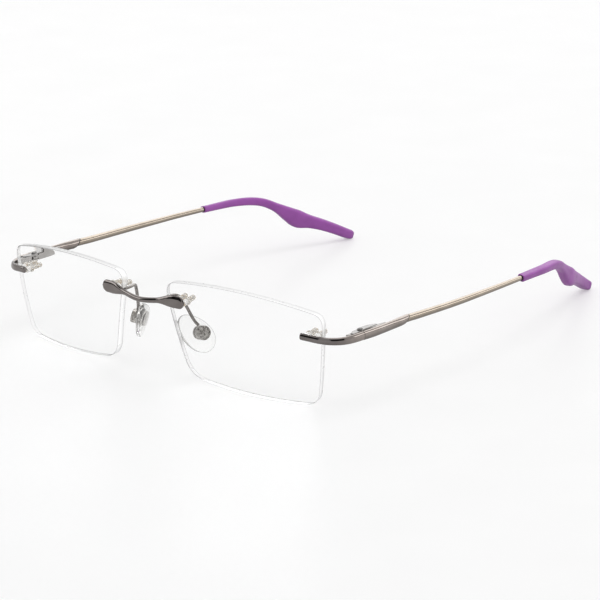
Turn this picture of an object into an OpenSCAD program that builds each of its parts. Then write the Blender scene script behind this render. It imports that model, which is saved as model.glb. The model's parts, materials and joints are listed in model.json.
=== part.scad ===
// Rimless eyeglasses with swinging temples and rocking nose pads.
// The lenses carry a bridge and two endpieces, each held by a pair of pins in a clear double sleeve.
// Left and right are the wearer's: the front faces -Y, +Z is up and the wearer's left is +X.
// Origin: middle of the footprint, on the surface the glasses rest on.

/* [View] */

// Which piece to draw, or all of them

/* [Lenses] */

// Middle of each lens from the symmetry plane
lens_x = 36; // [32:0.5:40]
// Height of the lens middle above the resting surface
lens_z = 16.34; // [12:0.01:20]
// Lens thickness
lens_t = 2; // [1.6:0.1:3]
// Radius of the front curve
lens_r = 190; // [90:5:400]
// Wrap: how far each lens turns back towards the temple, in degrees
lens_wrap = 8.8; // [0:0.1:15]
// Forward lean of the lens top, in degrees
lens_lean = 6.4; // [0:0.1:12]

/* [Lens mounts] */

// Distance between the two pins of one mount
pin_gap = 2.9; // [2.4:0.1:4]
// Pin radius
pin_r = 0.4; // [0.3:0.05:0.6]
// Outside radius of a sleeve
sleeve_r = 0.85; // [0.7:0.05:1.2]
// How far a sleeve stands out behind the lens
sleeve_tail = 4.2; // [1:0.1:6]

/* [Bridge] */

// Half the length of the bridge, tip to middle
bridge_half = 16.4; // [14:0.1:20]
// Height of the flattened spade ends
spade_h = 3.9; // [3:0.1:5]
// Thickness of the spade ends
spade_t = 1.3; // [1:0.1:2]
// Height of the neck in the middle
neck_h = 1.7; // [1.2:0.1:2.5]
// How far the middle bows forward of the ends
bridge_bow = 1.7; // [0:0.1:3]
// How far the middle dips below the ends
bridge_dip = 1.1; // [0:0.1:3]

/* [Nose pads] */

// Half the length of a pad
pad_half_l = 7.1; // [5:0.1:8]
// Half the width of a pad
pad_half_w = 4.3; // [3:0.1:5]
// Pad thickness at its middle
pad_t = 1.9; // [1.4:0.1:3]
// Radius of the round pad box
pad_box_r = 2.2; // [1.8:0.1:3]
// Splay: fronts of the pads closer together than their backs, in degrees
pad_splay = 25; // [15:0.5:40]
// Flare: tops of the pads closer together than their bottoms, in degrees
pad_flare = 13; // [5:0.5:30]
// Roll of the pad's long axis in its own plane, in degrees
pad_roll = 40; // [0:0.1:45]

/* [Temples] */

// Hinge pin axis from the symmetry plane
hinge_x = 66.3; // [60:0.1:75]
// Hinge pin axis behind the lens datum
hinge_y = 14.4; // [10:0.1:20]
// Middle height of the hinge
hinge_z = 21.9; // [20:0.05:28]
// Radius of the hinge knuckles
knuckle_r = 1; // [0.9:0.05:2]
// Height of the whole hinge barrel
barrel_h = 2.4; // [2:0.1:5]
// Hinge screw shank radius
screw_r = 0.42; // [0.35:0.01:0.8]

/* [Hidden] */

$fn = 64;
// Distance of the lens datum in front of the origin
datum_y = 70.42;
// Height of the resting surface in the datum the pieces are laid out in
rest_z = 0.515;
// Radial clearance of a seated pin, sleeve or tang
seat_gap = 0.02;
// Radial clearance of a turning pin
turn_gap = 0.03;
// Fine facets for the large spheres of the lens surfaces
lens_fn = 240;

// ---- Small helpers ----

function mix(a, b, t) = a + (b - a) * t;
function clamp01(t) = max(0, min(1, t));
function ease(t) = clamp01(t) * clamp01(t) * (3 - 2 * clamp01(t));
function unit(v) = v / norm(v);
function cross2(a, b) = a[0] * b[1] - a[1] * b[0];
function meet(p, d, q, e) = p + d * (cross2(q - p, e) / cross2(d, e));
function place(row) = [row[0], row[1], row[2]];

// Smooth curve through rows of [x, y, z, width, height, twist]
function blend(a, b, c, d, t) =
  0.5 * (2 * b + (c - a) * t + (2 * a - 5 * b + 4 * c - d) * t * t + (3 * b - a - 3 * c + d) * t * t * t);
function through(rows, u) =
  let (last = len(rows) - 1, i = min(floor(u), last - 1))
  blend(rows[max(i - 1, 0)], rows[i], rows[i + 1], rows[min(i + 2, last)], u - i);
function spaced(rows, count) = [for (k = [0:count]) through(rows, k * (len(rows) - 1) / count)];

// One rounded section square to the path, upright against the ref direction
function heading(p, i) = unit(place(p[min(i + 1, len(p) - 1)]) - place(p[max(i - 1, 0)]));
function soft(c, power) = sign(c) * pow(abs(c), 2 / power);
function section(p, i, ref, sides, power) =
  let (t = heading(p, i), a = unit(cross(t, ref)), b = cross(a, t), w = p[i][3] / 2, h = p[i][4] / 2)
  [for (k = [0:sides - 1])
    let (x = w * soft(cos(360 * k / sides), power), y = h * soft(sin(360 * k / sides), power), r = p[i][5])
    place(p[i]) + a * (x * cos(r) - y * sin(r)) + b * (x * sin(r) + y * cos(r))];

// Solid swept along a path of rows
module swept(p, ref = [0, 0, 1], sides = 16, power = 2.6) {
  rings = len(p);
  points = [for (i = [0:rings - 1]) each section(p, i, ref, sides, power)];
  walls = [for (i = [0:rings - 2]) for (k = [0:sides - 1])
    let (a = i * sides + k, b = i * sides + (k + 1) % sides)
    each [[a, b, b + sides], [a, b + sides, a + sides]]];
  near = [for (k = [sides - 1:-1:0]) k];
  far = [for (k = [0:sides - 1]) (rings - 1) * sides + k];
  polyhedron(points, concat([near], walls, [far]));
}

// Round bar from one point to another
module bar(from, to, r) {
  v = to - from;
  translate(from) rotate([0, acos(v[2] / norm(v)), atan2(v[1], v[0])]) cylinder(h = norm(v), r = r);
}

module on_left() translate([0, -datum_y, -rest_z]) children();
module on_right() mirror([1, 0, 0]) on_left() children();

// ---- Lenses ----

lens_y = -2.9;

// Sharp corners of the lens outline as seen from the front, and the bulge of the side after each
outline_corners = [[26.9, 12.5], [-28, 15.4], [-20.6, -13.2], [23.3, -15.8]];
outline_bulges = [2.8, 0.3, 1.2, 0.6];
outline_rounds = [3.2, 4.6, 5, 4.2];

function corner_at(i) = outline_corners[i % 4];
function side_len(i) = norm(corner_at(i + 1) - corner_at(i));
function side_out(i) = let (d = unit(corner_at(i + 1) - corner_at(i))) [d[1], -d[0]];
function side_at(i, t) =
  mix(corner_at(i), corner_at(i + 1), t) + side_out(i) * 4 * outline_bulges[i % 4] * t * (1 - t);
function side_dir(i, t) =
  corner_at(i + 1) - corner_at(i) + side_out(i) * 4 * outline_bulges[i % 4] * (1 - 2 * t);
function side_from(i) = outline_rounds[i % 4] / side_len(i);
function side_to(i) = 1 - outline_rounds[(i + 1) % 4] / side_len(i);
function corner_arc(i, t) =
  let (p = side_at(i, side_to(i)), q = side_at(i + 1, side_from(i + 1)),
    k = meet(p, side_dir(i, side_to(i)), q, side_dir(i + 1, side_from(i + 1))))
  p * (1 - t) * (1 - t) + k * 2 * t * (1 - t) + q * t * t;
lens_outline = [for (i = [0:3]) each concat(
  [for (j = [0:10]) side_at(i, mix(side_from(i), side_to(i), j / 10))],
  [for (j = [1:6]) corner_arc(i, j / 7)])];

// Frame of the left lens: x across, y backwards into the lens, z up its face
module lens_frame() translate([lens_x, lens_y, lens_z]) rotate([lens_lean, 0, lens_wrap]) children();
module lens_ball(r) translate([0, lens_r, 0]) sphere(r, $fn = lens_fn);

// Mounts as [across, up] of the inner pin, in the lens frame
bridge_mount = [-23.8, 9.9];
endpiece_mount = [21.3, 5.9];
function seat_depth(m, i) = (pow(m[0] + i * pin_gap, 2) + pow(m[1], 2)) / (2 * lens_r);

module at_pins(m) for (i = [0:1]) translate([m[0] + i * pin_gap, seat_depth(m, i), m[1]]) children();
module rod_back(from, to, r) translate([0, from, 0]) rotate([-90, 0, 0]) cylinder(h = to - from, r = r);

module lens() {
  color([0.86, 0.9, 0.92, 0.35]) lens_frame() difference() {
    intersection() {
      rotate([90, 0, 0]) translate([0, 0, -12]) linear_extrude(14) polygon(lens_outline);
      lens_ball(lens_r);
    }
    lens_ball(lens_r - lens_t);
    at_pins(bridge_mount) rod_back(-2, 6, sleeve_r + seat_gap);
    at_pins(endpiece_mount) rod_back(-2, 6, sleeve_r + seat_gap);
  }
}

// Clear double sleeve: two tubes through the lens and a flange that follows its back face
module sleeve(m) {
  flange_w = sleeve_r * 2 + 0.7;
  color([0.93, 0.9, 0.8, 0.6]) lens_frame() difference() {
    union() {
      at_pins(m) rod_back(-0.08, lens_t + sleeve_tail, sleeve_r);
      intersection() {
        union() {
          at_pins(m) rod_back(1.2, lens_t + 0.9, flange_w / 2);
          translate([m[0], seat_depth(m, 0.5) + 1.2, m[1] - flange_w / 2])
            cube([pin_gap, lens_t - 0.4, flange_w]);
        }
        lens_ball(lens_r - lens_t - 0.03);
      }
    }
    at_pins(m) rod_back(-1, lens_t + sleeve_tail + 1, pin_r + seat_gap);
  }
}

module pin_pair(m, reach) {
  color([0.5, 0.48, 0.47]) lens_frame() for (i = [0:1])
    translate([m[0] + i * pin_gap, seat_depth(m, i), m[1]])
      rod_back(-reach[i], lens_t + sleeve_tail - 0.5, pin_r);
}

module pin_sockets(m, reach) {
  lens_frame() for (i = [0:1])
    translate([m[0] + i * pin_gap, seat_depth(m, i), m[1]]) rod_back(-reach[i] - 0.02, 1, pin_r + seat_gap);
}

// Depth of each pin in front of the lens face
bridge_reach = [0.85, 0.75];
endpiece_reach = [1.1, 1.1];

// ---- Bridge ----

spade_y = -6.78;
spade_z = 26.8;

function bridge_height(s) =
  let (r = spade_h / 2, c = bridge_half - r)
  s > c ? 2 * sqrt(max(r * r - (s - c) * (s - c), 0.09)) : mix(neck_h, spade_h, ease((s - 6) / 6.4));
function bridge_row(x) =
  let (s = abs(x))
  [x, spade_y - bridge_bow * (1 - ease(s / 12)), spade_z - bridge_dip * (1 - ease(s / 13)),
    mix(spade_t + 0.2, spade_t, ease(s / 11)), bridge_height(s), 0];
bridge_rings = 44;
// Rings crowd together towards the rounded ends
function bridge_at(k) = bridge_half * sin(90 * (2 * k / bridge_rings - 1)) * 0.9985;

module bridge() {
  color([0.43, 0.41, 0.4]) difference() {
    translate([0, -datum_y, -rest_z])
      swept([for (k = [0:bridge_rings]) bridge_row(bridge_at(k))], sides = 14, power = 3);
    on_left() pin_sockets(bridge_mount, bridge_reach);
    on_right() pin_sockets(bridge_mount, bridge_reach);
  }
}

// ---- Nose pads and their arms ----

pad_box_at = [13.6, 4.35, 14.7];

module pad_frame() translate(pad_box_at) rotate([pad_roll, -pad_flare, -pad_splay]) children();

// Bent wire from the back of the bridge, over the lens edge and down to the pad box
arm_rows = [
  [7.9, -6.42, 26.85, 0.8, 1.1, 0],
  [7.9, -3.6, 27, 0.8, 1.1, 0],
  [8.6, -1.3, 26.9, 0.8, 1.1, 0],
  [9.4, 0.1, 25.7, 0.8, 1.1, 0],
  [10.3, 1.5, 22.6, 0.8, 1.1, 0],
  [11.2, 2.75, 19.4, 0.8, 1.1, 0],
  [11.9, 3.45, 17.8, 0.8, 1.1, 0],
  [12.55, 3.95, 16.95, 0.8, 1.1, 0]
];

module pad_arm() {
  color([0.52, 0.5, 0.49]) swept(spaced(arm_rows, 26), ref = [1, 0, 0], sides = 12, power = 2.4);
}

module pad_box() {
  color([0.52, 0.5, 0.49]) pad_frame() difference() {
    translate([-0.9, 0, 0]) rotate([0, 90, 0]) cylinder(h = 2.1, r = pad_box_r);
    translate([-1.5, -0.7, -1.5]) cube([2.35, 1.4, 3]);
    rotate([90, 0, 0]) cylinder(h = 6, r = 0.31, center = true);
    translate([0, -1.7, 0]) rotate([90, 0, 0]) cylinder(h = 2, r = 0.56);
  }
}

module pad_screw() {
  color([0.6, 0.58, 0.56]) pad_frame() difference() {
    union() {
      translate([0, 1.95, 0]) rotate([90, 0, 0]) cylinder(h = 3.7, r = 0.3);
      translate([0, -1.72, 0]) rotate([90, 0, 0]) cylinder(h = 0.4, r = 0.53);
    }
    translate([-0.6, -2.3, -0.07]) cube([1.2, 0.34, 0.14]);
  }
}

pad_shift_y = -0.85;
pad_shift_z = 0.75;
pad_outer = -1.65;
pad_sides = 40;
function pad_edge(a) = [(pad_half_w - 0.8 * sin(a)) * cos(a) + pad_shift_y, pad_half_l * sin(a) + pad_shift_z];
pad_dome_r = 22;

module nose_pad() {
  color([0.9, 0.9, 0.86, 0.55]) pad_frame() difference() {
    intersection() {
      translate([pad_outer, 0, 0]) rotate([90, 0, -90]) linear_extrude(pad_t)
        polygon([for (k = [0:pad_sides - 1]) let (e = pad_edge(360 * k / pad_sides)) [-e[0], e[1]]]);
      translate([pad_outer - pad_t + pad_dome_r, pad_shift_y, pad_shift_z]) sphere(pad_dome_r, $fn = 120);
    }
    translate([pad_outer - 1.05, 0, 0]) rotate([0, 90, 0]) cylinder(h = 0.6, r = 2.22);
    translate([pad_outer - 0.9, -0.57, -0.62]) cube([1.2, 1.14, 1.24]);
  }
}

// Metal insert: a disc inside the pad and a drilled lug that hangs on the pad screw
module pad_core() {
  color([0.6, 0.58, 0.56]) pad_frame() difference() {
    union() {
      translate([pad_outer - 1.03, 0, 0]) rotate([0, 90, 0]) cylinder(h = 0.56, r = 2.2);
      translate([pad_outer - 0.8, -0.55, -0.6]) cube([-pad_outer + 0.8, 1.1, 1.2]);
      rotate([90, 0, 0]) cylinder(h = 1.1, r = 0.75, center = true);
    }
    rotate([90, 0, 0]) cylinder(h = 3, r = 0.3 + turn_gap, center = true);
  }
}

// ---- Endpieces ----

endpiece_rows = [
  [56.1, -0.5, 22.85, 1.1, 1.7, 0],
  [56.6, -0.4, 22.82, 1.4, 2.1, 0],
  [59, 0.15, 22.62, 1.4, 2.1, 0],
  [61.9, 1, 22.35, 1.4, 2.15, 0],
  [64.3, 2.5, 22.08, 1.4, 2.2, 0],
  [66.2, 4.7, 21.9, 1.4, 2.3, 0],
  [67.35, 7.3, 21.82, 1.4, 2.45, 0],
  [67.9, 10.3, 21.8, 1.4, 2.55, 0],
  [68.1, 13.6, 21.8, 1.4, 2.6, 0]
];

module endpiece() {
  color([0.43, 0.41, 0.4]) difference() {
    swept(spaced(endpiece_rows, 36), sides = 14, power = 3.2);
    pin_sockets(endpiece_mount, endpiece_reach);
  }
}

// ---- Hinges ----

module hinge_at(z) translate([hinge_x, hinge_y, hinge_z + z]) children();
ear_h = 0.72;
// Inner face of the hinge plates, inwards of the pin axis
plate_in = 0.6;
ear_z = barrel_h / 2;

// Fixed half: a block on the inner face of the endpiece and two ears round the screw
module hinge_front() {
  color([0.55, 0.53, 0.52]) difference() {
    union() {
      translate([0, 0, hinge_z - 0.95]) linear_extrude(1.9)
        polygon([[hinge_x - plate_in, 8.6], [66.75, 8.6], [67.12, 10.3], [67.28, 12],
          [hinge_x - plate_in, 12]]);
      translate([hinge_x - plate_in, 11.2, hinge_z - ear_z]) cube([plate_in + 0.85, 1.4, barrel_h]);
      for (z = [-ear_z, ear_z - ear_h]) hinge_at(z) {
        cylinder(h = ear_h, r = knuckle_r);
        translate([-plate_in, -2.2, 0]) cube([2 * plate_in, 2.2, ear_h]);
      }
    }
    hinge_at(-ear_z - 1) cylinder(h = ear_h + 1.5, r = screw_r + 0.01);
    hinge_at(0) cylinder(h = barrel_h, r = screw_r + turn_gap);
  }
}

module hinge_screw() {
  color([0.62, 0.6, 0.58]) difference() {
    union() {
      hinge_at(-ear_z) cylinder(h = barrel_h + 0.1, r = screw_r);
      hinge_at(ear_z + 0.02) cylinder(h = 0.36, r = 0.78);
    }
    hinge_at(ear_z + 0.2) translate([-1, -0.11, 0]) cube([2, 0.22, 0.4]);
  }
}

// Moving half: a middle knuckle and a tapering plate on the inner face of the temple
module hinge_rear() {
  knuckle_h = barrel_h - 2 * ear_h - 0.12;
  color([0.55, 0.53, 0.52]) difference() {
    union() {
      hinge_at(-knuckle_h / 2) cylinder(h = knuckle_h, r = knuckle_r);
      hinge_at(-knuckle_h / 2) translate([-plate_in, 0, 0]) cube([2 * plate_in, 2, knuckle_h]);
      translate([0, 0, hinge_z - 1.1]) linear_extrude(2)
        polygon([[hinge_x - plate_in, 15.7], [67.3, 15.7], [67.32, 18], [67.08, 22], [66.88, 25.5],
          [66.5, 25.5], [hinge_x - plate_in, 20.5]]);
    }
    hinge_at(-barrel_h) cylinder(h = 2 * barrel_h, r = screw_r + turn_gap);
  }
}

// ---- Temples ----

shell_rows = [
  [68.1, 13.9, 21.8, 1.4, 2.7, 0],
  [68.15, 18, 21.72, 1.5, 2.8, 0],
  [68, 22, 21.68, 1.65, 2.8, 0],
  [67.8, 27, 21.68, 1.8, 2.7, 0],
  [67.5, 31.5, 21.72, 2.3, 2.6, 0],
  [67.37, 33.6, 21.72, 2.3, 2.5, 0]
];
rod_rows = [
  [67.36, 33.7, 21.72, 2.1, 2.3, 0],
  [67.35, 40, 21.58, 2.1, 2.25, 0],
  [67.45, 50, 21.3, 2, 2.15, 0],
  [67.4, 60, 21.07, 1.95, 2.05, 0],
  [67.05, 70, 20.88, 1.85, 1.9, 0],
  [66.6, 80, 20.7, 1.7, 1.75, 0],
  [65.8, 92, 20.42, 1.55, 1.6, 0]
];
// Rows run from the front of the purple tip, over the ear bend and the lump, to its round end
tip_rows = [
  [65.8, 92.1, 20.4, 2.5, 2.2, -12],
  [65.3, 98, 20.25, 2.6, 2.3, -12],
  [64.6, 105, 20, 2.7, 2.5, -12],
  [62.9, 112, 19.4, 2.8, 2.7, -10],
  [61.2, 117.2, 18.1, 2.9, 2.8, -6],
  [59.4, 121.6, 15.7, 3, 3.2, 0],
  [57.9, 125.6, 12.9, 3.2, 4.9, 0],
  [56.8, 129.2, 10.6, 3.4, 6, 0],
  [55.1, 133.4, 9, 3.4, 4.5, 0],
  [53.3, 137.4, 7.4, 3.4, 3.9, 0],
  [51.5, 142, 5.2, 3.4, 3.6, 0],
  [50.2, 146.6, 2.83, 3.4, 3.4, 0],
  [50, 148.6, 1.93, 3, 3, 0],
  [49.95, 149.7, 1.43, 1.8, 1.8, 0]
];

rod_front = place(rod_rows[0]);
rod_back_end = place(rod_rows[6]);
tang_front = rod_front + [0.25, -4.2, 0.15];
tang_back = rod_back_end + 9 * unit([-0.5, 6, -0.14]);

module temple_shell() {
  color([0.5, 0.46, 0.42]) difference() {
    swept(spaced(shell_rows, 18), sides = 14, power = 3.2);
    bar(tang_front + (tang_front - rod_front) * 0.01, rod_front + (rod_front - tang_front) * 0.3, 0.6 + seat_gap);
  }
}

// Rod with a round tang at each end: one seats in the shell, the other runs into the tip
module temple_rod() {
  color([0.58, 0.53, 0.47]) union() {
    swept(spaced(rod_rows, 14), sides = 14, power = 2.3);
    bar(rod_front + (rod_front - tang_front) * 0.2, tang_front, 0.6);
    bar(rod_back_end - (tang_back - rod_back_end) * 0.05, tang_back, 0.6);
  }
}

module temple_tip() {
  color([0.5, 0.28, 0.58]) difference() {
    swept(spaced(tip_rows, 52), sides = 16, power = 2.8);
    bar(rod_back_end - (tang_back - rod_back_end) * 0.1, tang_back + (tang_back - rod_back_end) * 0.01,
      0.6 + seat_gap);
  }
}

on_left() lens();  // lens_left
on_right() lens();  // lens_right
bridge();
on_left() pin_pair(bridge_mount, bridge_reach);  // bridge_pins_left
on_right() pin_pair(bridge_mount, bridge_reach);  // bridge_pins_right
on_left() sleeve(bridge_mount);  // bridge_sleeve_left
on_right() sleeve(bridge_mount);  // bridge_sleeve_right
on_left() endpiece();  // endpiece_left
on_right() endpiece();  // endpiece_right
on_left() pin_pair(endpiece_mount, endpiece_reach);  // endpiece_pins_left
on_right() pin_pair(endpiece_mount, endpiece_reach);  // endpiece_pins_right
on_left() sleeve(endpiece_mount);  // endpiece_sleeve_left
on_right() sleeve(endpiece_mount);  // endpiece_sleeve_right
on_left() pad_arm();  // pad_arm_left
on_right() pad_arm();  // pad_arm_right
on_left() pad_box();  // pad_box_left
on_right() pad_box();  // pad_box_right
on_left() pad_screw();  // pad_screw_left
on_right() pad_screw();  // pad_screw_right
on_left() nose_pad();  // nose_pad_left
on_right() nose_pad();  // nose_pad_right
on_left() pad_core();  // pad_core_left
on_right() pad_core();  // pad_core_right
on_left() hinge_front();  // hinge_front_left
on_right() hinge_front();  // hinge_front_right
on_left() hinge_screw();  // hinge_screw_left
on_right() hinge_screw();  // hinge_screw_right
on_left() hinge_rear();  // hinge_rear_left
on_right() hinge_rear();  // hinge_rear_right
on_left() temple_shell();  // temple_shell_left
on_right() temple_shell();  // temple_shell_right
on_left() temple_rod();  // temple_rod_left
on_right() temple_rod();  // temple_rod_right
on_left() temple_tip();  // temple_tip_left
on_right() temple_tip();  // temple_tip_right
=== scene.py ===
import json
import math

import bmesh
import bpy
import numpy as np
from mathutils import Matrix, Vector


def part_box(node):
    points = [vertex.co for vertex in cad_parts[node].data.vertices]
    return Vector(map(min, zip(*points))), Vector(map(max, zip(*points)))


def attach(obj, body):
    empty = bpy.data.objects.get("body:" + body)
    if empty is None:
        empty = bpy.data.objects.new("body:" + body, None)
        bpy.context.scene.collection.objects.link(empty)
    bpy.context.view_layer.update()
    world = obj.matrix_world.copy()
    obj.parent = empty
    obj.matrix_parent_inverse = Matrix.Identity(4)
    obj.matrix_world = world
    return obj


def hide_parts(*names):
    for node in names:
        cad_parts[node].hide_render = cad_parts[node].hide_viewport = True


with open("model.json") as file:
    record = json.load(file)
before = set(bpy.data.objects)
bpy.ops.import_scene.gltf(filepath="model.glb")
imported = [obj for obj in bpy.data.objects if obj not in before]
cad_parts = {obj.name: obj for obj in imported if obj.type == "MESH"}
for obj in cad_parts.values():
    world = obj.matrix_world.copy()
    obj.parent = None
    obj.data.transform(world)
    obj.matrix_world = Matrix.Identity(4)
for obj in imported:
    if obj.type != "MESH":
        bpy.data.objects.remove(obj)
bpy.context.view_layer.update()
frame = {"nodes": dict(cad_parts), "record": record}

# ---------------------------------------------------------------- layout
# Pieces are laid out in millimetres, on the wearer's left, about the lens datum. LAYOUT is that datum in the
# model's frame. A settled piece then moves so that its box is centred on the box of its CAD node.
MM = 0.001
LAYOUT = np.array([0.0, -70.42, -0.515])
SIDES = ("left", "right")
MIRROR = np.array([-1.0, 1.0, 1.0])
BODY_OF = {n: b for b, ns in frame["record"]["behaviour"]["bodies"].items() for n in ns}


def unit(v):
    return v / np.linalg.norm(v)


def mix(a, b, t):
    return a + (b - a) * t


def ease(t):
    t = min(1.0, max(0.0, t))
    return t * t * (3 - 2 * t)


def turned(x_deg, y_deg, z_deg):
    """Rotation about X, then Y, then Z."""
    a, b, c = (math.radians(v) for v in (x_deg, y_deg, z_deg))
    rx = np.array([[1, 0, 0], [0, math.cos(a), -math.sin(a)], [0, math.sin(a), math.cos(a)]])
    ry = np.array([[math.cos(b), 0, math.sin(b)], [0, 1, 0], [-math.sin(b), 0, math.cos(b)]])
    rz = np.array([[math.cos(c), -math.sin(c), 0], [math.sin(c), math.cos(c), 0], [0, 0, 1]])
    return rz @ ry @ rx


# Where the left lens and the left nose pad stand, and how they are turned.
LENS_AT = np.array([36.0, -2.9, 16.34])
LENS_TURN = turned(6.4, 0, 8.8)
PAD_AT = np.array([13.6, 4.35, 14.7])
PAD_TURN = turned(40, -13, -25)


def in_lens(points):
    return np.asarray(points, float) @ LENS_TURN.T + LENS_AT


def in_pad(points):
    return np.asarray(points, float) @ PAD_TURN.T + PAD_AT


# ---------------------------------------------------------------- materials
def new_material(name):
    m = bpy.data.materials.new(name)
    m.use_nodes = True
    tree = m.node_tree
    shader = tree.nodes["Principled BSDF"]
    return m, tree, shader


def noise(tree, scale, detail=4.0, stretch=(1, 1, 1)):
    where = tree.nodes.new("ShaderNodeTexCoord")
    mapping = tree.nodes.new("ShaderNodeMapping")
    mapping.inputs["Scale"].default_value = stretch
    texture = tree.nodes.new("ShaderNodeTexNoise")
    texture.inputs["Scale"].default_value = scale
    texture.inputs["Detail"].default_value = detail
    tree.links.new(where.outputs["Object"], mapping.inputs["Vector"])
    tree.links.new(mapping.outputs["Vector"], texture.inputs["Vector"])
    return texture.outputs["Fac"]


def grey(value):
    return (value, value, value)


def ramp(tree, value, tones, middle=0.5, half=0.2):
    """Colour that runs from the first tone to the second as value crosses the middle."""
    r = tree.nodes.new("ShaderNodeValToRGB")
    low, high = r.color_ramp.elements
    low.position = middle - half
    high.position = middle + half
    low.color = (*tones[0], 1)
    high.color = (*tones[1], 1)
    tree.links.new(value, r.inputs["Fac"])
    return r.outputs["Color"]


def spread(tree, value, low, high):
    """Number that runs from low to high with value."""
    r = tree.nodes.new("ShaderNodeMapRange")
    r.inputs["From Min"].default_value = 0.3
    r.inputs["From Max"].default_value = 0.7
    r.inputs["To Min"].default_value = low
    r.inputs["To Max"].default_value = high
    tree.links.new(value, r.inputs["Value"])
    return r.outputs["Result"]


def bump(tree, shader, value, strength, distance):
    b = tree.nodes.new("ShaderNodeBump")
    b.inputs["Strength"].default_value = strength
    b.inputs["Distance"].default_value = distance
    tree.links.new(value, b.inputs["Height"])
    tree.links.new(b.outputs["Normal"], shader.inputs["Normal"])


def painted_shade_by_facing(tree, colour, share, start, stop):
    """Painted shade: the colour, down to that share of itself where the normal's height is at start, whole at
    stop.
    """
    where = tree.nodes.new("ShaderNodeTexCoord")
    parts = tree.nodes.new("ShaderNodeSeparateXYZ")
    tree.links.new(where.outputs["Normal"], parts.inputs["Vector"])
    level = tree.nodes.new("ShaderNodeMapRange")
    level.inputs["From Min"].default_value = start
    level.inputs["From Max"].default_value = stop
    level.inputs["To Min"].default_value = share
    level.inputs["To Max"].default_value = 1.0
    tree.links.new(parts.outputs["Z"], level.inputs["Value"])
    both = tree.nodes.new("ShaderNodeMix")
    both.data_type = "RGBA"
    both.blend_type = "MULTIPLY"
    both.inputs["Factor"].default_value = 1.0
    tree.links.new(colour, both.inputs["A"])
    tree.links.new(level.outputs["Result"], both.inputs["B"])
    return both.outputs["Result"]


def along_depth(tree, colour, other, start, stop):
    """The colour, turning into the other one between two depths in the layout."""
    where = tree.nodes.new("ShaderNodeTexCoord")
    parts = tree.nodes.new("ShaderNodeSeparateXYZ")
    tree.links.new(where.outputs["Object"], parts.inputs["Vector"])
    level = tree.nodes.new("ShaderNodeMapRange")
    level.inputs["From Min"].default_value = (start + float(LAYOUT[1])) * MM
    level.inputs["From Max"].default_value = (stop + float(LAYOUT[1])) * MM
    tree.links.new(parts.outputs["Y"], level.inputs["Value"])
    both = tree.nodes.new("ShaderNodeMix")
    both.data_type = "RGBA"
    tree.links.new(level.outputs["Result"], both.inputs["Factor"])
    tree.links.new(colour, both.inputs["A"])
    tree.links.new(other, both.inputs["B"])
    return both.outputs["Result"]


# Heights of the normal between which the painted shade on faces that look down or up fades out, and the
# depths where an endpiece turns to bronze.
UNDERSIDE, SOFT_UNDERSIDE, TOPSIDE = (-0.6, 0.25), (-0.7, 0.5), (0.9, 0.5)
BRONZE_DEPTHS = (3.0, 11.0)


def metal(name, tones, rough, grain=0.02, below=1.0, scale=260, rear=None, dark_top=1.0):
    """Metal that varies a little in colour and gloss.

    below and dark_top are painted shade, the shares of its colour on faces that look down and up, and rear
    holds the tones of its back end, where they differ.
    """
    m, tree, shader = new_material(name)
    shader.inputs["Metallic"].default_value = 1.0
    colour = ramp(tree, noise(tree, scale), tones)
    if rear:
        colour = along_depth(tree, colour, ramp(tree, noise(tree, scale), rear), *BRONZE_DEPTHS)
    # Painted shade: darker on faces that look down, then on faces that look up.
    if below < 1:
        colour = painted_shade_by_facing(tree, colour, below, *UNDERSIDE)
    if dark_top < 1:
        colour = painted_shade_by_facing(tree, colour, dark_top, *TOPSIDE)
    tree.links.new(colour, shader.inputs["Base Color"])
    tree.links.new(spread(tree, noise(tree, 220, 3), *rough), shader.inputs["Roughness"])
    bump(tree, shader, noise(tree, 5200, 2), grain, 0.01 * MM)
    return m


def painted_grazing_shade(tree, colour, edge):
    """Painted shade: the colour, turning into edge where the surface is seen at a grazing angle."""
    facing = tree.nodes.new("ShaderNodeLayerWeight")
    facing.inputs["Blend"].default_value = 0.5
    blend = tree.nodes.new("ShaderNodeMix")
    blend.data_type = "RGBA"
    blend.inputs["B"].default_value = (*edge, 1)
    tree.links.new(spread(tree, facing.outputs["Facing"], 0.0, 1.0), blend.inputs["Factor"])
    tree.links.new(colour, blend.inputs["A"])
    return blend.outputs["Result"]


def pale_shadow(tree, shader):
    """Lets nearly all light through the surface towards what it would shade."""
    see = tree.nodes.new("ShaderNodeBsdfTransparent")
    see.inputs["Color"].default_value = (*grey(0.995), 1)
    path = tree.nodes.new("ShaderNodeLightPath")
    both = tree.nodes.new("ShaderNodeMixShader")
    tree.links.new(path.outputs["Is Shadow Ray"], both.inputs["Fac"])
    tree.links.new(shader.outputs["BSDF"], both.inputs[1])
    tree.links.new(see.outputs["BSDF"], both.inputs[2])
    tree.links.new(both.outputs["Shader"], tree.nodes["Material Output"].inputs["Surface"])


def clear(name, tones, ior, rough, veil, glow=0.0, edge=None, scale=160, middle=0.5, half=0.2):
    """Clear material.

    veil is the share of its own pale surface colour. glow is painted light, a self-lit share of its colour in
    place of the studio light it would gather, and edge is painted shade, the darker colour it takes at a
    grazing angle.
    """
    m, tree, shader = new_material(name)
    shader.inputs["Transmission Weight"].default_value = 1.0 - veil
    shader.inputs["IOR"].default_value = ior
    colour = ramp(tree, noise(tree, scale), tones, middle, half)
    if edge:
        colour = painted_grazing_shade(tree, colour, edge)
    tree.links.new(colour, shader.inputs["Base Color"])
    tree.links.new(spread(tree, noise(tree, 700), *rough), shader.inputs["Roughness"])
    # Painted light: the surface glows in its own colour.
    if glow:
        tree.links.new(colour, shader.inputs["Emission Color"])
        shader.inputs["Emission Strength"].default_value = glow
    pale_shadow(tree, shader)
    return m


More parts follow.
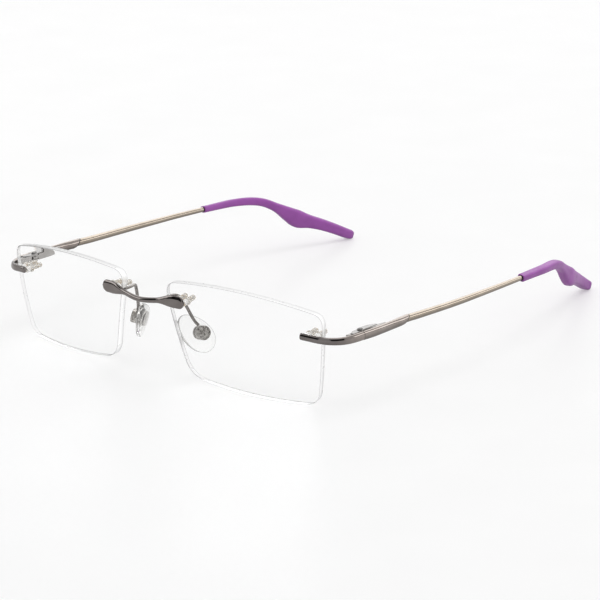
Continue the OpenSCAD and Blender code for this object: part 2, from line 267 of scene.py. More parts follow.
def matte(name, tones, rough, grain, below):
    """Moulded plastic; below is painted shade, the share of its colour on faces that look down."""
    m, tree, shader = new_material(name)
    shader.inputs["Specular IOR Level"].default_value = 0.4
    # Painted shade on faces that look down.
    colour = painted_shade_by_facing(tree, ramp(tree, noise(tree, 240), tones), below, *SOFT_UNDERSIDE)
    tree.links.new(colour, shader.inputs["Base Color"])
    tree.links.new(spread(tree, noise(tree, 1200), *rough), shader.inputs["Roughness"])
    bump(tree, shader, noise(tree, 9000, 3), grain, 0.02 * MM)
    return m


GUNMETAL_TONES = ((0.175, 0.156, 0.15), (0.22, 0.2, 0.192))
BRONZE_TONES = ((0.3, 0.262, 0.24), (0.36, 0.32, 0.295))
CHAMPAGNE_TONES = ((0.35, 0.3, 0.245), (0.41, 0.355, 0.295))
SHADOW_RING_TONES = ((0.03, 0.027, 0.025), (0.05, 0.045, 0.042))
HINGE_TONES = ((0.36, 0.345, 0.33), (0.45, 0.435, 0.42))
PLATE_TONES = ((0.34, 0.33, 0.325), (0.42, 0.41, 0.4))
WIRE_TONES = ((0.2, 0.185, 0.175), (0.26, 0.245, 0.235))
MOTTLED_TONES = ((0.12, 0.11, 0.1), (0.62, 0.6, 0.57))
STEEL_TONES = ((0.55, 0.53, 0.5), (0.66, 0.64, 0.6))
SCREW_TONES = ((0.3, 0.29, 0.28), (0.4, 0.385, 0.37))
CORE_TONES = ((0.6, 0.58, 0.56), (0.86, 0.85, 0.83))
RIM_TONES = ((0.95, 0.955, 0.955), grey(0.99))
LENS_TONES = ((0.995, 0.997, 0.997), grey(1.0))
AMBER_TONES = ((0.62, 0.47, 0.3), (0.985, 0.98, 0.965))
SILICONE_TONES = ((0.98, 0.98, 0.975), (0.995, 0.995, 0.99))
PAD_OUTLINE_SHADE_TONES = ((0.62, 0.62, 0.61), (0.72, 0.72, 0.71))
PURPLE_TONES = ((0.315, 0.072, 0.37), (0.375, 0.09, 0.435))
SPECKLE = 1500

# below and dark_top paint shade: bars darker on faces that look down, hinge parts darker on top, screw heads
# near black on top.
GUNMETAL = metal("gunmetal polished", GUNMETAL_TONES, (0.05, 0.065), below=0.8)
ENDPIECE = metal("gunmetal to bronze", GUNMETAL_TONES, (0.05, 0.065), below=0.7, rear=BRONZE_TONES)
BRONZE = metal("temple bronze", BRONZE_TONES, (0.12, 0.145), below=0.26)
ROD = metal("temple rod champagne", CHAMPAGNE_TONES, (0.11, 0.135), below=0.35)
# Near-black rings where the rod leaves the shell and enters the tip: painted shadow in the gap.
SHADOW_RING = metal("painted shadow ring", SHADOW_RING_TONES, (0.35, 0.45))
HINGE = metal("hinge satin", HINGE_TONES, (0.24, 0.32), grain=0.1, dark_top=0.65)
PLATE = metal("hinge plate satin", PLATE_TONES, (0.26, 0.34), grain=0.1, dark_top=0.62)
WIRE = metal("pad wire satin", WIRE_TONES, (0.2, 0.3), grain=0.1)
BOX = metal("pad box mottled", MOTTLED_TONES, (0.2, 0.35), grain=0.3, scale=SPECKLE)
STEEL = metal("screw steel", STEEL_TONES, (0.15, 0.25))
SCREW = metal("hinge screw", SCREW_TONES, (0.25, 0.35), dark_top=0.15)
CORE = metal("pad core pale", CORE_TONES, (0.25, 0.4), grain=0.2, scale=SPECKLE)
# glow paints light onto the lens rim, its bevel and the sleeves. The bevel's grey and the darker colour edge
# gives at a grazing angle are painted shade for the lines that refraction draws.
RIM = clear("lens rim polished", RIM_TONES, 1.06, (0.25, 0.4), veil=0.58, glow=0.18, edge=grey(0.62))
BEVEL_PAINTED_LINE = clear(
    "lens rim bevel", (grey(0.7), grey(0.76)), 1.1, (0.2, 0.3), veil=0.8, glow=0.08, edge=grey(0.16))
LENS = clear("lens clear", LENS_TONES, 1.1, (0.0, 0.004), veil=0.0)
SLEEVE = clear(
    "sleeve clear amber", AMBER_TONES, 1.4, (0.04, 0.1), veil=0.34, glow=0.05, edge=(0.66, 0.62, 0.54),
    scale=1300, middle=0.42, half=0.08)
SILICONE = clear("pad silicone", SILICONE_TONES, 1.36, (0.02, 0.05), veil=0.0, edge=(0.72, 0.72, 0.71))
# Grey for the fillet on the pad's flat side: painted shade for its outline.
PAD_OUTLINE_SHADE = clear("pad outline painted shade", PAD_OUTLINE_SHADE_TONES, 1.3, (0.1, 0.2), veil=0.55)
# below paints shade on the tip's faces that look down.
PURPLE = matte("tip purple", PURPLE_TONES, (0.36, 0.46), grain=0.2, below=0.62)


# ---------------------------------------------------------------- making pieces
def new_object(name, points, faces, material=None):
    mesh = bpy.data.meshes.new(name)
    mesh.from_pydata([tuple(p) for p in points], [], faces)
    if material:
        mesh.materials.append(material)
    obj = bpy.data.objects.new(name, mesh)
    bpy.context.scene.collection.objects.link(obj)
    return obj


def in_model(points, faces, node):
    """Layout points in the model's metres, mirrored if node is on the wearer's right."""
    points = (np.asarray(points, float) + LAYOUT) * MM
    if node.endswith("_right"):
        points = points * MIRROR
        faces = [tuple(reversed(f)) for f in faces]
    return points, faces


def fix_normals(obj):
    """Makes all faces of a closed mesh face outwards."""
    bm = bmesh.new()
    bm.from_mesh(obj.data)
    bmesh.ops.recalc_face_normals(bm, faces=bm.faces)
    bm.to_mesh(obj.data)
    bm.free()


def sharp_by_angle(obj, degrees):
    obj.data.set_sharp_from_angle(angle=math.radians(degrees))


def make_piece(name, points, faces, material, node, settle=True, stands=True):
    """Piece that rides on the body of node and, if it stands for it, is shown instead of it."""
    points, faces = in_model(points, faces, node)
    if settle:
        low, high = (np.array(c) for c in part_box(node))
        points = points + (low + high) / 2 - (points.min(0) + points.max(0)) / 2
    obj = new_object(name, points, faces, material)
    obj.data.shade_smooth()
    obj.data.update()
    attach(obj, BODY_OF[node])
    if stands:
        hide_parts(node)
    fix_normals(obj)
    return obj


def through(rows, u):
    """Point on the smooth curve through rows, at u counted in rows."""
    last = len(rows) - 1
    i = min(int(math.floor(u)), last - 1)
    t = u - i
    a, b, c, d = rows[max(i - 1, 0)], rows[i], rows[i + 1], rows[min(i + 2, last)]
    square, cube = 2 * a - 5 * b + 4 * c - d, 3 * b - a - 3 * c + d
    return 0.5 * (2 * b + (c - a) * t + square * t * t + cube * t ** 3)


def spaced(rows, count):
    """The smooth curve through rows, cut into count steps."""
    rows = np.array(rows, float)
    return np.array([through(rows, k * (len(rows) - 1) / count) for k in range(count + 1)])


def rounded_end(rows, radius, steps=6):
    """Replaces the last rows with a rounded edge of that radius."""
    if radius <= 0:
        return rows
    end, way = rows[-1], unit(rows[-1][:3] - rows[-2][:3])
    kept = [r for r in rows[:-1] if (end[:3] - r[:3]) @ way > radius * 1.15]
    for k in range(steps + 1):
        a = math.radians(90 * k / steps)
        r = end.copy()
        r[:3] = end[:3] - way * radius * (1 - math.sin(a))
        r[3:5] = np.maximum(end[3:5] - 2 * radius * (1 - math.cos(a)), 0.05)
        kept.append(r)
    return np.array(kept)


def sweep(rows, ref=(0, 0, 1), sides=40, power=2.6, ends=(0.2, 0.2)):
    """Points and faces of a bar swept along rows of [x, y, z, width, height, twist]."""
    rows = rounded_end(rows, ends[1])
    rows = rounded_end(rows[::-1], ends[0])[::-1]
    ref = np.array(ref, float)
    points, n = [], len(rows)
    heads = [unit(rows[min(i + 1, n - 1)][:3] - rows[max(i - 1, 0)][:3]) for i in range(n)]
    for row, head in zip(rows, heads):
        a = unit(np.cross(head, ref))
        b = np.cross(a, head)
        twist = math.radians(row[5])
        for k in range(sides):
            q = 2 * math.pi * k / sides
            c, s = math.cos(q), math.sin(q)
            x = row[3] / 2 * math.copysign(abs(c) ** (2 / power), c)
            y = row[4] / 2 * math.copysign(abs(s) ** (2 / power), s)
            points.append(
                row[:3] + a * (x * math.cos(twist) - y * math.sin(twist))
                + b * (x * math.sin(twist) + y * math.cos(twist)))
    faces = []
    for i in range(n - 1):
        for k in range(sides):
            p, q = i * sides + k, i * sides + (k + 1) % sides
            faces.append((p, p + sides, q + sides, q))
    near, far = len(points), len(points) + 1
    points.append(rows[0][:3])
    points.append(rows[-1][:3])
    for k in range(sides):
        faces.append((near, k, (k + 1) % sides))
        faces.append((far, (n - 1) * sides + (k + 1) % sides, (n - 1) * sides + k))
    return points, faces


def skin(rings, sides):
    """Faces of a closed skin over that many rings of sides points each."""
    faces = [tuple(range(sides)), tuple(reversed(range((rings - 1) * sides, rings * sides)))]
    for i in range(rings - 1):
        for k in range(sides):
            p, q = i * sides + k, i * sides + (k + 1) % sides
            faces.append((p, p + sides, q + sides, q))
    return faces


def turned_body(profile, sides, place):
    """Solid of revolution about local Y: profile holds (y, radius) from front to back, closed on the axis."""
    points, faces = [], []
    for y, r in profile:
        for k in range(sides):
            q = 2 * math.pi * k / sides
            points.append((r * math.cos(q), y, r * math.sin(q)))
    for i in range(len(profile) - 1):
        for k in range(sides):
            p, q = i * sides + k, i * sides + (k + 1) % sides
            faces.append((p, q, q + sides, p + sides))
    faces.append(tuple(reversed(range(sides))))
    faces.append(tuple((len(profile) - 1) * sides + k for k in range(sides)))
    return place(points), faces


def joined(parts):
    """Points and faces of several parts as one mesh."""
    points, faces = [], []
    for p, f in parts:
        start = len(points)
        points.extend(np.asarray(p))
        faces.extend(tuple(v + start for v in face) for face in f)
    return points, faces


WELD_GAP = 0.002
SOFTENED_ANGLE = 35


def finish_cad(node, material, bevel):
    """Keeps a CAD node, welded and with softened edges."""
    obj = frame["nodes"][node]
    obj.data.materials.clear()
    obj.data.materials.append(material)
    obj.data.shade_smooth()
    weld = obj.modifiers.new("weld", "WELD")
    weld.merge_threshold = WELD_GAP * MM
    soften = obj.modifiers.new("edges", "BEVEL")
    soften.width = bevel * MM
    soften.segments = 3
    soften.limit_method = "ANGLE"
    soften.angle_limit = math.radians(SOFTENED_ANGLE)
    soften.harden_normals = False
    even = obj.modifiers.new("normals", "WEIGHTED_NORMAL")
    even.keep_sharp = False


# ---------------------------------------------------------------- lenses
LENS_R, LENS_T = 190.0, 2.0
# The outline runs top, nose side, bottom and temple side: the corner where each side starts, how far the side
# bulges, and how far before each corner its rounding starts.
CORNERS = np.array([[26.9, 12.5], [-28, 15.4], [-20.6, -13.2], [23.3, -15.8]])
BULGES = (2.8, 0.3, 1.2, 0.6)
ROUNDS = (3.2, 4.6, 5.0, 4.2)
CHAMFER, CHAMFER_SHARE = 0.16, 0.9
FACE_RINGS = 14
# Share of a normal along the lens axis below which a face is rim, and below which it is bevel.
RIM_LIMIT, BEVEL_LIMIT = 0.35, 0.93
# Each mount is the place of its first pin on the lens; the second stands PIN_GAP further out.
PIN_GAP = 2.9
SLEEVE_R, SLEEVE_TAIL, HOLE_PLAY = 0.85, 4.2, 0.03
MOUNTS = {"bridge": (-23.8, 9.9), "endpiece": (21.3, 5.9)}


def corner(i):
    return CORNERS[i % 4]


def side_out(i):
    d = unit(corner(i + 1) - corner(i))
    return np.array([d[1], -d[0]])


def side_at(i, t):
    """Point on side i, from its corner at t = 0 to the next at t = 1."""
    return mix(corner(i), corner(i + 1), t) + side_out(i) * 4 * BULGES[i % 4] * t * (1 - t)


def side_dir(i, t):
    return corner(i + 1) - corner(i) + side_out(i) * 4 * BULGES[i % 4] * (1 - 2 * t)


def side_len(i):
    return np.linalg.norm(corner(i + 1) - corner(i))


def side_from(i):
    return ROUNDS[i % 4] / side_len(i)


def side_to(i):
    return 1 - ROUNDS[(i + 1) % 4] / side_len(i)


def cross2(a, b):
    return a[0] * b[1] - a[1] * b[0]


def outline(side_steps=26, corner_steps=16):
    ring = []
    for i in range(4):
        for j in range(side_steps + 1):
            ring.append(side_at(i, mix(side_from(i), side_to(i), j / side_steps)))
        p, q = side_at(i, side_to(i)), side_at(i + 1, side_from(i + 1))
        d, e = side_dir(i, side_to(i)), side_dir(i + 1, side_from(i + 1))
        k = p + d * (cross2(q - p, e) / cross2(d, e))
        for j in range(1, corner_steps):
            t = j / corner_steps
            ring.append(p * (1 - t) ** 2 + k * 2 * t * (1 - t) + q * t * t)
    return np.array(ring)


def inset(ring, amount):
    """The ring moved inwards by amount."""
    way = np.roll(ring, -1, 0) - np.roll(ring, 1, 0)
    out = np.stack([way[:, 1], -way[:, 0]], 1)
    out /= np.linalg.norm(out, axis=1)[:, None]
    if (out * ring).sum() < 0:
        out = -out
    return ring - out * amount


def face_depth(xz, radius):
    """Depth of a lens face of that radius behind the front's middle."""
    return LENS_R - np.sqrt(radius ** 2 - (xz ** 2).sum(1))


def lens_shape():
    """Spherical faces about one centre, a flat rim and a bevel between them, ring by ring."""
    rim = outline()
    n = len(rim)
    rings = []
    shares = [0.04] + [k / FACE_RINGS for k in range(1, FACE_RINGS + 1)]
    for share in shares:
        flat = inset(rim, CHAMFER) * share
        rings.append(np.stack([flat[:, 0], face_depth(flat, LENS_R), flat[:, 1]], 1))
    front, back = face_depth(rim, LENS_R), face_depth(rim, LENS_R - LENS_T)
    for k in (0.5, 1.0):
        soft = inset(rim, CHAMFER * (1 - k))
        rings.append(np.stack([soft[:, 0], front + CHAMFER * CHAMFER_SHARE * k ** 2, soft[:, 1]], 1))
    rings.append(np.stack([rim[:, 0], (front + back) / 2, rim[:, 1]], 1))
    for k in (1.0, 0.5):
        soft = inset(rim, CHAMFER * (1 - k))
        rings.append(np.stack([soft[:, 0], back - CHAMFER * CHAMFER_SHARE * k ** 2, soft[:, 1]], 1))
    for share in reversed(shares):
        flat = inset(rim, CHAMFER) * share
        rings.append(np.stack([flat[:, 0], face_depth(flat, LENS_R - LENS_T), flat[:, 1]], 1))
    return in_lens(np.vstack(rings)), skin(len(rings), n)


def rim_part(normal):
    """0 for a lens face, 1 for its rim, 2 for the bevel between them."""
    across = abs((np.asarray(normal) @ LENS_TURN)[1])
    return 1 if across < RIM_LIMIT else 2 if across < BEVEL_LIMIT else 0


def seat_depth(mount, i):
    """Depth of the lens front at pin i of that mount."""
    return ((mount[0] + i * PIN_GAP) ** 2 + mount[1] ** 2) / (2 * LENS_R)


def pin_place(mount, i):
    """Places local points on the axis of pin i of that mount."""
    at = np.array([mount[0] + i * PIN_GAP, seat_depth(mount, i), mount[1]])
    return lambda points: in_lens(np.asarray(points, float) + at)


def cut_holes(obj, cutters):
    """Cuts the solids in cutters out of obj, then drops them."""
    for tool in cutters:
        cut = obj.modifiers.new("hole", "BOOLEAN")
        cut.operation = "DIFFERENCE"
        cut.object = tool
        cut.solver = "EXACT"
    bpy.context.view_layer.update()
    done = bpy.data.meshes.new_from_object(obj.evaluated_get(bpy.context.evaluated_depsgraph_get()))
    obj.modifiers.clear()
    obj.data = done
    for tool in cutters:
        bpy.data.objects.remove(tool)


def hole_tool(mount, i, node):
    """Round bar where the sleeve of pin i goes through the lens."""
    profile = [(-3, SLEEVE_R + HOLE_PLAY), (6, SLEEVE_R + HOLE_PLAY)]
    obj = new_object("tool", *in_model(*turned_body(profile, 40, pin_place(mount, i)), node))
    fix_normals(obj)
    return obj


def build_lens(side):
    node = f"lens_{side}"
    lens = make_piece(f"lens_{side}_clear", *lens_shape(), LENS, node, settle=False)
    cut_holes(lens, [hole_tool(mount, i, node) for mount in MOUNTS.values() for i in range(2)])
    # The rim takes a painted glow and the bevel a painted grey line.
    lens.data.materials.append(RIM)
    lens.data.materials.append(BEVEL_PAINTED_LINE)
    mirror = MIRROR if side == "right" else np.ones(3)
    for face in lens.data.polygons:
        face.material_index = rim_part(np.array(face.normal) * mirror)
    sharp_by_angle(lens, 40)


for side in SIDES:
    build_lens(side)


# ---------------------------------------------------------------- sleeves, pins
RIDGE_PITCH = 0.82
RIDGE = ((0.0, 0.66), (0.16, 0.66), (0.34, 0.83), (0.5, SLEEVE_R), (0.66, 0.83), (0.84, 0.66))
COLLAR_R = SLEEVE_R + 0.35


def sleeve_profile():
    """Clear tube with a flush head and a ridged tail; RIDGE gives radii at shares of the pitch."""
    profile = [(-0.08, SLEEVE_R - 0.14), (-0.02, SLEEVE_R - 0.02), (0.05, SLEEVE_R)]
    profile.append((LENS_T + 0.75, SLEEVE_R))
    y, stop = LENS_T + 0.85, LENS_T + SLEEVE_TAIL - 0.15
    while y < stop:
        for share, r in RIDGE:
            if y + share * RIDGE_PITCH < stop:
                profile.append((y + share * RIDGE_PITCH, r))
        y += RIDGE_PITCH
    profile += [(stop, 0.7), (stop + 0.15, 0.6)]
    return profile


def collar_profile(r):
    """Washer behind the lens."""
    return [(LENS_T + 0.05, r - 0.08), (LENS_T + 0.12, r), (LENS_T + 0.62, r), (LENS_T + 0.72, r - 0.1)]


def build_mount(part, mount, side):
    parts = []
    for i in range(2):
        parts.append(turned_body(sleeve_profile(), 32, pin_place(mount, i)))
        parts.append(turned_body(collar_profile(COLLAR_R), 32, pin_place(mount, i)))
    node = f"{part}_sleeve_{side}"
    sleeve = make_piece(f"{node}_ridged", *joined(parts), SLEEVE, node, settle=False)
    sharp_by_angle(sleeve, 50)
    finish_cad(f"{part}_pins_{side}", STEEL, 0.04)


for side in SIDES:
    for part, mount in MOUNTS.items():
        build_mount(part, mount, side)


# ---------------------------------------------------------------- bridge
BRIDGE_HALF, SPADE_Y, SPADE_Z = 16.4, -6.78, 26.8
BOW, DIP, LEAN = 1.7, 1.1, 0.45
SPADE_H, SPADE_T, NECK_H = 3.9, 1.3, 1.7
BRIDGE_STEPS = 140


def bridge_height(s):
    """Height of the bar at s from its middle: a thin neck that widens to a round spade end."""
    r = SPADE_H / 2
    c = BRIDGE_HALF - r
    if s > c:
        return 2 * math.sqrt(max(r * r - (s - c) ** 2, 0.01))
    return mix(NECK_H, SPADE_H, ease((s - 6) / 6.4))


def lean(s):
    """How far the spade stands forward of its plane, so that its face turns outwards."""
    return LEAN * ease((s - 5.5) / 5.5) * (1 - ease((s - 9) / 9))


def bridge_row(x):
    """Row [x, y, z, width, height, twist] of the bridge, which bows forward and dips in the middle."""
    s = abs(x)
    slim = ease((s - (BRIDGE_HALF - 0.7)) / 0.7)
    return [
        x, SPADE_Y - BOW * (1 - ease(s / 12)) - lean(s), SPADE_Z - DIP * (1 - ease(s / 13)),
        mix(SPADE_T + 0.2, SPADE_T, ease(s / 11)) * (1 - 0.55 * slim), bridge_height(s), 0]


def build_bridge():
    rows = []
    for k in range(BRIDGE_STEPS + 1):
        rows.append(bridge_row(BRIDGE_HALF * math.sin(math.pi / 2 * (2 * k / BRIDGE_STEPS - 1))))
    bar = sweep(np.array(rows), sides=64, power=2.0, ends=(0, 0))
    make_piece("bridge_bar", *bar, GUNMETAL, "bridge")


build_bridge()


# ---------------------------------------------------------------- endpieces, hinges, temples
# Rows of [x, y, z, width, height, twist] along each bar.
ENDPIECE_ROWS = [
    [56.1, -0.5, 22.85, 1.3, 2.0, 0], [56.6, -0.4, 22.82, 1.4, 2.1, 0], [59, 0.15, 22.62, 1.4, 2.1, 0],
    [61.9, 1, 22.35, 1.4, 2.15, 0], [64.3, 2.5, 22.08, 1.4, 2.2, 0], [66.2, 4.7, 21.9, 1.4, 2.3, 0],
    [67.35, 7.3, 21.82, 1.4, 2.45, 0], [67.9, 10.3, 21.8, 1.4, 2.55, 0], [68.1, 13.6, 21.8, 1.4, 2.6, 0]]
SHELL_ROWS = [
    [68.1, 13.68, 21.8, 1.4, 2.7, 0], [68.15, 18, 21.72, 1.5, 2.8, 0], [68, 22, 21.68, 1.65, 2.8, 0],
    [67.8, 27, 21.68, 1.8, 2.8, 0], [67.5, 31.5, 21.68, 2.3, 2.8, 0], [67.37, 33.6, 21.68, 2.3, 2.8, 0]]
# The dark ring at the shell's rear end is painted shadow around the rod.
MOUTH_ROWS = [[67.37, 33, 21.68, 2.14, 2.62, 0], [67.37, 34, 21.7, 2.12, 2.56, 0]]
ROD_ROWS = [
    [67.36, 32, 21.85, 1.95, 2.2, 0], [67.35, 36, 21.75, 2.1, 2.25, 0], [67.35, 40, 21.58, 2.1, 2.25, 0],
    [67.45, 50, 21.3, 2, 2.15, 0], [67.4, 60, 21.07, 1.95, 2.05, 0], [67.05, 70, 20.88, 1.85, 1.9, 0],
    [66.6, 80, 20.7, 1.7, 1.75, 0], [65.8, 92, 20.42, 1.55, 1.6, 0]]
TIP_ROWS = [
    [65.8, 92.1, 20.4, 2.5, 2.2, -12], [65.3, 98, 20.25, 2.6, 2.3, -12], [64.6, 105, 20, 2.7, 2.5, -12],
    [62.9, 112, 19.4, 2.8, 2.7, -10], [61.2, 117.2, 18.1, 2.9, 2.8, -6], [59.4, 121.6, 15.7, 3, 3.2, 0],
    [57.9, 125.6, 12.9, 3.2, 4.9, 0], [56.8, 129.2, 10.6, 3.4, 6, 0], [55.1, 133.4, 9, 3.4, 4.5, 0],
    [53.3, 137.4, 7.4, 3.4, 3.9, 0], [51.5, 142, 5.2, 3.4, 3.6, 0], [50.2, 146.6, 2.83, 3.4, 3.4, 0],
    [50, 148.6, 1.93, 3, 3, 0], [49.95, 149.7, 1.43, 1.8, 1.8, 0]]
# The dark ring at the tip's front is painted shadow where the rod enters.
TIP_MOUTH_ROWS = [[65.8, 92.06, 20.4, 1.9, 1.8, -12], [65.78, 92.9, 20.39, 1.9, 1.8, -12]]
SLANT_FROM, SLANT_OVER, SHELL_SLANT = 29.5, 4.0, 1.05
SHELL_MIDDLE = 21.7


def slanted(points, faces):
    """The rear end of the shell leans back at the top."""
    points = np.array(points)
    share = np.clip((points[:, 1] - SLANT_FROM) / SLANT_OVER, 0, 1)
    points[:, 1] += share ** 2 * (points[:, 2] - SHELL_MIDDLE) * SHELL_SLANT
    return points, faces


PIVOT = np.array([66.3, 14.4])
PLATE_R, PLATE_EDGE, PLATE_STEPS = 1.0, 0.05, 24
# How far each plate reaches from the pivot, the width of its far end, and its lower and upper face.
PLATES = {"front": (-4.4, 1.0, 22.86, 23.12), "rear": (6.6, 0.7, 23.14, 23.4)}


def plate_shape(reach, tail, low, high):
    """Flat ear of a hinge: a round end about the pivot and a straight part that reaches along the depth."""
    way = 1 if reach > 0 else -1
    ring = []
    for k in range(PLATE_STEPS + 1):
        a = math.pi * k / PLATE_STEPS
        ring.append(PIVOT + np.array([PLATE_R * math.cos(a), -way * PLATE_R * math.sin(a)]))
    ring.append(PIVOT + np.array([-PLATE_R * 0.9, reach * 0.6]))
    ring.append(PIVOT + np.array([PLATE_R - tail, reach]))
    ring.append(PIVOT + np.array([PLATE_R, reach]))
    ring = np.array(ring)
    middle = (ring.min(0) + ring.max(0)) / 2
    levels = ((low, 0.0), (high - PLATE_EDGE, 0.0), (high, PLATE_EDGE))
    points = []
    for z, amount in levels:
        flat = ring + (middle - ring) / np.linalg.norm(ring - middle, axis=1)[:, None] * amount
        points.extend([x, y, z] for x, y in flat)
    return points, skin(len(levels), len(ring))


def build_hinge(side):
    for part, shape in PLATES.items():
        node = f"hinge_{part}_{side}"
        plate = make_piece(f"{node}_plate", *plate_shape(*shape), PLATE, node, settle=False, stands=False)
        sharp_by_angle(plate, 35)
        finish_cad(node, HINGE, 0.12)
    finish_cad(f"hinge_screw_{side}", SCREW, 0.05)


def build_temple(side):
    endpiece, shell = f"endpiece_{side}", f"temple_shell_{side}"
    rod, tip = f"temple_rod_{side}", f"temple_tip_{side}"
    bar = sweep(spaced(ENDPIECE_ROWS, 120), sides=44, power=2.15, ends=(0.3, 0.04))
    make_piece(f"{endpiece}_bar", *bar, ENDPIECE, endpiece)
    bar = slanted(*sweep(spaced(SHELL_ROWS, 120), sides=44, power=2.05, ends=(0.04, 0.1)))
    make_piece(f"{shell}_body", *bar, BRONZE, shell, settle=False)
    # Near-black ring at the shell's rear: painted shadow around the rod.
    bar = slanted(*sweep(np.array(MOUTH_ROWS, float), sides=44, power=2.2, ends=(0, 0)))
    make_piece(f"{shell}_shadow_ring", *bar, SHADOW_RING, shell, settle=False)
    bar = sweep(spaced(ROD_ROWS, 150), sides=36, power=2.05, ends=(0.2, 0.1))
    make_piece(f"{rod}_bar", *bar, ROD, rod, settle=False)
    bar = sweep(spaced(TIP_ROWS, 230), sides=56, power=3.5, ends=(0.16, 0.5))
    make_piece(f"{tip}_moulding", *bar, PURPLE, tip)
    # Near-black ring at the tip's front: painted shadow where the rod enters.
    bar = sweep(np.array(TIP_MOUTH_ROWS), sides=44, power=2.1, ends=(0, 0))
    make_piece(f"{tip}_shadow_ring", *bar, SHADOW_RING, tip, settle=False)


for side in SIDES:
    build_hinge(side)
    build_temple(side)


# ---------------------------------------------------------------- nose pads and arms
ARM_W, ARM_H = 0.8, 1.1
ARM_POINTS = [
    [7.9, -6.42, 26.85], [7.9, -3.6, 27], [8.6, -1.3, 26.9], [9.4, 0.1, 25.7], [10.3, 1.5, 22.6],
    [11.2, 2.75, 19.4], [11.9, 3.45, 17.8], [12.55, 3.95, 16.95]]
ARM_ROWS = [[*point, ARM_W, ARM_H, 0] for point in ARM_POINTS]
PAD_HALF_L, PAD_HALF_W, PAD_T = 7.1, 4.3, 1.9
PAD_SHIFT = (-0.85, 0.75)
PAD_OUTER, PAD_DOME = -1.65, 22.0
PAD_TAPER, PAD_FILLET = 0.8, 0.3
PAD_SIDES = 96
FLAT_SHARES = (0.05, 0.3, 0.6, 0.85, 1.0)
DOME_SHARES = (0.9, 0.75, 0.6, 0.45, 0.3, 0.15, 0.04)
EDGE_RINGS = 5


def pad_outline():
    turn = [2 * math.pi * k / PAD_SIDES for k in range(PAD_SIDES)]
    return np.array([
        [(PAD_HALF_W - PAD_TAPER * math.sin(q)) * math.cos(q), PAD_HALF_L * math.sin(q)] for q in turn])


def pad_shape():
    """Domed oval pad with a rounded rim; local -X is the side that meets the nose."""
    rim = pad_outline()
    rings = []

    def ring(flat, depth):
        x = np.full(PAD_SIDES, PAD_OUTER) - depth
        rings.append(np.stack([x, flat[:, 0] + PAD_SHIFT[0], flat[:, 1] + PAD_SHIFT[1]], 1))

    for share in FLAT_SHARES:
        ring(inset(rim, PAD_FILLET) * share, 0.0)
    for k in range(1, 7):
        a = math.radians(15 * k)
        ring(inset(rim, PAD_FILLET * (1 - math.sin(a))), PAD_FILLET * (1 - math.cos(a)))
    dome = PAD_T - (rim ** 2).sum(1) / (2 * PAD_DOME)
    for k in range(7):
        a = math.radians(15 * k)
        ring(inset(rim, PAD_FILLET * (1 - math.cos(a))), dome - PAD_FILLET * (1 - math.sin(a)))
    for share in DOME_SHARES:
        flat = inset(rim, PAD_FILLET) * share
        ring(flat, PAD_T - (flat ** 2).sum(1) / (2 * PAD_DOME))
    return in_pad(np.vstack(rings)), skin(len(rings), PAD_SIDES)


def build_pad(side):
    arm, node = f"pad_arm_{side}", f"nose_pad_{side}"
    bar = sweep(spaced(ARM_ROWS, 110), ref=(1, 0, 0), sides=28, power=2.4, ends=(0.1, 0.15))
    make_piece(f"{arm}_wire", *bar, WIRE, arm, settle=False)
    pad = make_piece(f"{node}_moulding", *pad_shape(), SILICONE, node, settle=False)
    # The fillet rings on the flat side take the grey of a painted outline shade.
    pad.data.materials.append(PAD_OUTLINE_SHADE)
    first = PAD_SIDES * len(FLAT_SHARES)
    for face in pad.data.polygons:
        if first <= min(face.vertices) < first + PAD_SIDES * EDGE_RINGS:
            face.material_index = 1
    finish_cad(f"pad_box_{side}", BOX, 0.34)
    finish_cad(f"pad_screw_{side}", STEEL, 0.04)
    finish_cad(f"pad_core_{side}", CORE, 0.1)


for side in SIDES:
    build_pad(side)


# ---------------------------------------------------------------- floor, cards, light, camera
FLOOR_HALF = 6.0
FLOOR_GLOW = 0.385
WORLD_LIGHT = 0.78


def plane(name, corners, material):
    obj = new_object(name, corners, [(0, 1, 2, 3)], material)
    return obj


def floor_material():
    """Pale floor with a faint glow, so that it is nearly white like the photograph's."""
    material, tree, shader = new_material("studio floor")
    shader.inputs["Specular IOR Level"].default_value = 0.03
    tree.links.new(ramp(tree, noise(tree, 3), (grey(0.55), grey(0.57))), shader.inputs["Base Color"])
    tree.links.new(spread(tree, noise(tree, 40), 0.35, 0.45), shader.inputs["Roughness"])
    shader.inputs["Emission Color"].default_value = (1, 1, 1, 1)
    shader.inputs["Emission Strength"].default_value = FLOOR_GLOW
    return material


def dark_card():
    material, tree, shader = new_material("dark card")
    tree.links.new(ramp(tree, noise(tree, 5), (grey(0.012), grey(0.02))), shader.inputs["Base Color"])
    shader.inputs["Roughness"].default_value = 0.9
    return material


def glowing(name, strength):
    material, tree, shader = new_material(name)
    tree.links.new(ramp(tree, noise(tree, 5), (grey(0.9), grey(1))), shader.inputs["Emission Color"])
    shader.inputs["Emission Strength"].default_value = strength
    return material


def card(name, azimuth, elevation, half_width, half_height, material, away=1.6):
    """Card seen only in reflections; its place and size are given in degrees as seen from the object."""
    a, e = math.radians(azimuth), math.radians(elevation)
    face = np.array([math.cos(a) * math.cos(e), math.sin(a) * math.cos(e), math.sin(e)])
    at = face * away
    across = unit(np.cross((0, 0, 1), face)) * away * math.tan(math.radians(half_width))
    up = unit(np.cross(face, across)) * away * math.tan(math.radians(half_height))
    obj = plane(name, [at - across - up, at + across - up, at + across + up, at - across + up], material)
    obj.visible_camera = False
    obj.visible_shadow = False
    obj.visible_diffuse = False
    obj.visible_transmission = False


h = FLOOR_HALF
plane("floor", [(-h, -h, 0), (h, -h, 0), (h, h, 0), (-h, h, 0)], floor_material())
DARK, SOFT, BRIGHT = dark_card(), glowing("soft card", 1.55), glowing("bright card", 2.1)
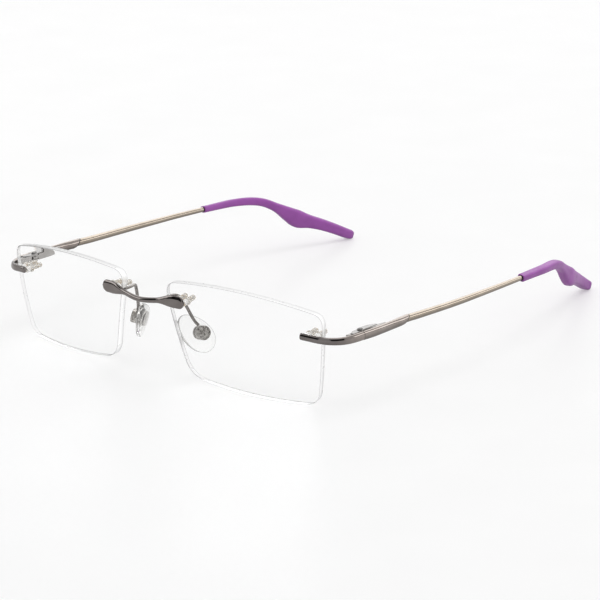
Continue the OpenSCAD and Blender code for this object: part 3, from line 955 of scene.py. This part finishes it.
# Name, azimuth, elevation, half width and half height in degrees, and material.
card("card_front", -102, 23, 24, 22, DARK)
card("card_low", -144, 5.2, 17, 3.8, DARK)
card("card_turn", -19, 20, 21, 19, DARK)
card("card_soft", -146, 24, 19, 12, SOFT, 1.8)
card("card_back", 115, 32, 32, 19, SOFT)
card("card_bright", 50, 17, 20, 6, BRIGHT)

world = bpy.data.worlds.new("studio")
bpy.context.scene.world = world
world.use_nodes = True
sky = world.node_tree.nodes["Background"]
sky.inputs["Color"].default_value = (1, 1, 1, 1)
sky.inputs["Strength"].default_value = WORLD_LIGHT


def lamp(name, at, to, size, power, in_reflections=True):
    data = bpy.data.lights.new(name, "AREA")
    data.shape = "DISK"
    data.size = size
    data.energy = power
    obj = bpy.data.objects.new(name, data)
    bpy.context.scene.collection.objects.link(obj)
    obj.location = at
    way = unit(np.array(to, float) - np.array(at, float))
    obj.rotation_mode = "QUATERNION"
    obj.rotation_quaternion = Vector(way).to_track_quat("-Z", "Y")
    obj.visible_glossy = in_reflections


lamp("lamp_back", (-0.9, 1.2, 0.34), (0, 0.05, 0), 0.12, 1.6, in_reflections=False)
lamp("lamp_top", (0.2, 0.5, 1.9), (0, 0, 0), 1.2, 7.0)

# ---------------------------------------------------------------- camera
# The photograph's camera, from a fit to matching points on the left and right halves.
CAMERA_AT = (0.66893, -0.77792, 0.31574)
YAW, PITCH, ROLL = 40.91, 16.8, -0.98
SENSOR, FOCAL_LENGTH = 36.0, 203.76


def photo_camera():
    yaw, pitch, roll = (math.radians(v) for v in (YAW, PITCH, ROLL))
    ahead = np.array([-math.sin(yaw) * math.cos(pitch), math.cos(yaw) * math.cos(pitch), -math.sin(pitch)])
    right = np.array([math.cos(yaw), math.sin(yaw), 0])
    up = np.cross(right, ahead)
    cam_x = math.cos(roll) * right + math.sin(roll) * up
    cam_y = -math.sin(roll) * right + math.cos(roll) * up
    data = bpy.data.cameras.new("camera")
    data.sensor_width = SENSOR
    data.lens = FOCAL_LENGTH
    data.clip_start, data.clip_end = 0.05, 60
    obj = bpy.data.objects.new("camera", data)
    bpy.context.scene.collection.objects.link(obj)
    columns = np.stack([cam_x, cam_y, -ahead, np.array(CAMERA_AT)], 1)
    obj.matrix_world = Matrix([list(r) for r in columns] + [[0, 0, 0, 1]])
    return obj


bpy.context.scene.camera = photo_camera()
bpy.context.scene.view_settings.view_transform = "Standard"
